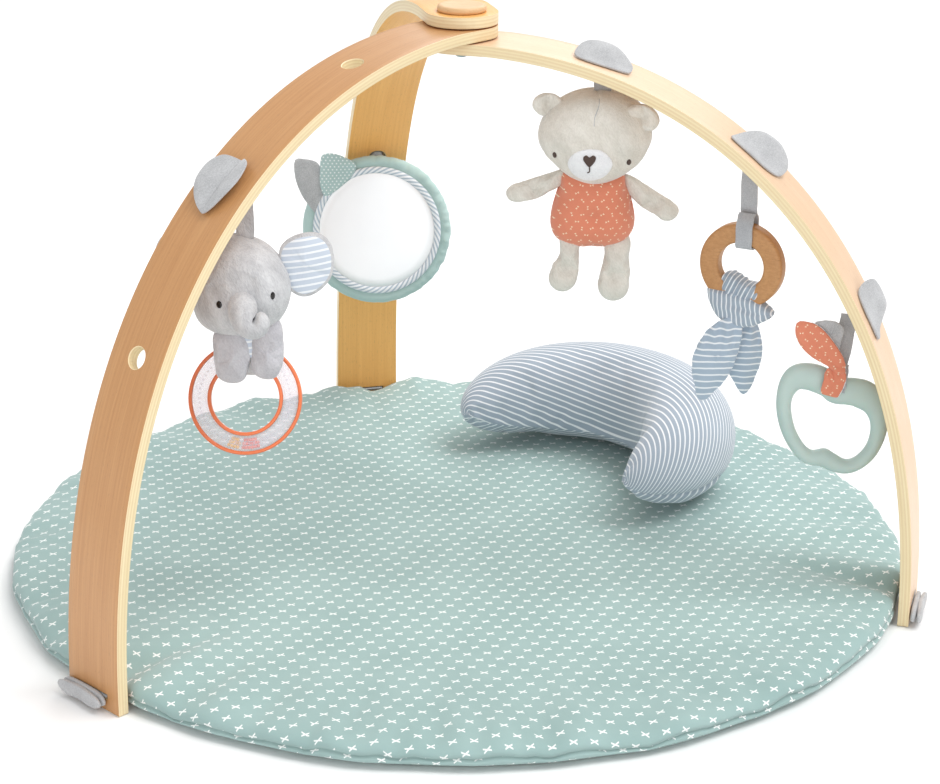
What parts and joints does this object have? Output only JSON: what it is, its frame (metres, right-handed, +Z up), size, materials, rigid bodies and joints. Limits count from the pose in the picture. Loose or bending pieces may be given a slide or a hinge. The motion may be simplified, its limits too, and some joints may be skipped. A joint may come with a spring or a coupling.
{
  "type": "activity play gym",
  "caption": "Padded round play mat with bent plywood arms meeting at a hub, hanging plush toys, mirror, rings and teether, and a crescent pillow.",
  "frame": {"origin": "on the floor, under the axis of the hub bolt, at the centre of the mat", "axes": "+Z up; -Y towards the side the toys face; the rear arm stands near +Y"},
  "size_m": [0.8966, 0.9221, 0.5628],
  "materials": {
    "sage_cotton": "printed cotton, matte",
    "sage_backing": "plain non-slip cotton",
    "beech_ply": "clear-varnished bent beech plywood, satin",
    "grey_felt": "heather grey felt",
    "grey_webbing": "woven webbing",
    "elephant_plush": "short light-grey plush",
    "bear_plush": "short warm grey plush",
    "white_plush": "short white plush",
    "coral_cotton": "coral cotton",
    "coral_plastic": "moulded coral plastic",
    "lilac_plastic": "clear lilac-tinted plastic, hollow with beads",
    "brown_thread": "satin-stitched thread",
    "blue_stripe": "blue-grey jersey with white pinstripes",
    "mirror_film": "baby-safe acrylic mirror",
    "beech_solid": "turned and oiled beech",
    "sage_silicone": "matte food-grade silicone",
    "steel": "zinc-plated steel",
    "nylon": "natural nylon"
  },
  "bodies": {
    "root": {"mat_backing": "sage_backing", "mat_pad": "sage_cotton", "mat_piping": "sage_cotton", "arm_rear": "beech_ply", "foot_strap_rear": "grey_webbing", "foot_toggle_rear": "grey_felt", "hub_bolt": "steel", "hub_nut": "steel", "hub_cap": "beech_solid", "hub_washer_low": "nylon", "hub_washer_high": "nylon", "leaf_toggle_mirror": "grey_felt"},
    "left_arm": {"arm_left": "beech_ply", "foot_strap_left": "grey_webbing", "foot_toggle_left": "grey_felt", "leaf_toggle_elephant": "grey_felt"},
    "right_arm": {"arm_right": "beech_ply", "foot_strap_right": "grey_webbing", "foot_toggle_right": "grey_felt", "leaf_toggle_bear": "grey_felt", "leaf_toggle_ring": "grey_felt", "leaf_toggle_teether": "grey_felt"},
    "elephant": {"elephant_strap": "grey_webbing", "elephant_head": "elephant_plush", "elephant_trunk": "elephant_plush", "elephant_ear_left": "elephant_plush", "elephant_ear_right": "elephant_plush", "elephant_paw_left": "elephant_plush", "elephant_paw_right": "elephant_plush", "rattle_loop": "elephant_plush"},
    "rattle": {"rattle_tube": "lilac_plastic", "rattle_rim_outer": "coral_plastic", "rattle_rim_inner": "coral_plastic"},
    "mirror": {"mirror_strap": "grey_webbing", "mirror_pad": "sage_cotton", "mirror_binding": "blue_stripe", "mirror_glass": "mirror_film", "mirror_leaf_grey": "grey_felt", "mirror_leaf_sage": "sage_cotton"},
    "bear": {"bear_strap": "grey_webbing", "bear_head": "bear_plush", "bear_ear_left": "bear_plush", "bear_ear_right": "bear_plush", "bear_muzzle": "white_plush", "bear_nose": "brown_thread", "bear_torso": "coral_cotton", "bear_arm_left": "bear_plush", "bear_arm_right": "bear_plush", "bear_leg_left": "bear_plush", "bear_leg_right": "bear_plush"},
    "ring_toy": {"ring_strap": "grey_webbing", "wood_ring": "beech_solid", "ring_knot": "blue_stripe", "ring_tail_left": "blue_stripe", "ring_tail_right": "blue_stripe"},
    "teether_toy": {"teether_strap": "grey_webbing", "teether": "sage_silicone", "teether_leaf_coral": "coral_cotton", "teether_leaf_grey": "grey_felt"},
    "pillow": {"pillow": "blue_stripe"}
  },
  "joints": [
    {"name": "fold_left", "type": "hinge", "parent": "root", "child": "left_arm", "pos_m": [0, 0, 0.53], "axis": [0, 0, 1], "range_deg": [-70, 0]},
    {"name": "fold_right", "type": "hinge", "parent": "root", "child": "right_arm", "pos_m": [0, 0, 0.53], "axis": [0, 0, 1], "range_deg": [0, 70]},
    {"name": "swing_elephant", "type": "hinge", "parent": "left_arm", "child": "elephant", "pos_m": [-0.2361, -0.14926, 0.43217], "axis": [0.9744, -0.225, 0], "range_deg": [-15, 25]},
    {"name": "spin_rattle", "type": "hinge", "parent": "elephant", "child": "rattle", "pos_m": [-0.23329, -0.14375, 0.23967], "axis": [-0.2114, -0.9156, 0.342], "continuous": true},
    {"name": "swing_mirror", "type": "hinge", "parent": "root", "child": "mirror", "pos_m": [-0.0066, 0.37834, 0.31163], "axis": [0.9744, -0.225, 0], "range_deg": [-30, 3]},
    {"name": "swing_bear", "type": "hinge", "parent": "right_arm", "child": "bear", "pos_m": [0.11733, -0.06774, 0.49801], "axis": [0.9744, -0.225, 0], "range_deg": [-25, 25]},
    {"name": "swing_ring", "type": "hinge", "parent": "right_arm", "child": "ring_toy", "pos_m": [0.24267, -0.14011, 0.42152], "axis": [0.9744, -0.225, 0], "range_deg": [-25, 25]},
    {"name": "swing_teether", "type": "hinge", "parent": "right_arm", "child": "teether_toy", "pos_m": [0.33035, -0.19073, 0.29183], "axis": [0.9744, -0.225, 0], "range_deg": [-2, 25]},
    {"name": "slide_pillow", "type": "slide", "parent": "root", "child": "pillow", "axis": [-0.6428, -0.766, 0], "range_m": [0, 0.15]}
  ]
}
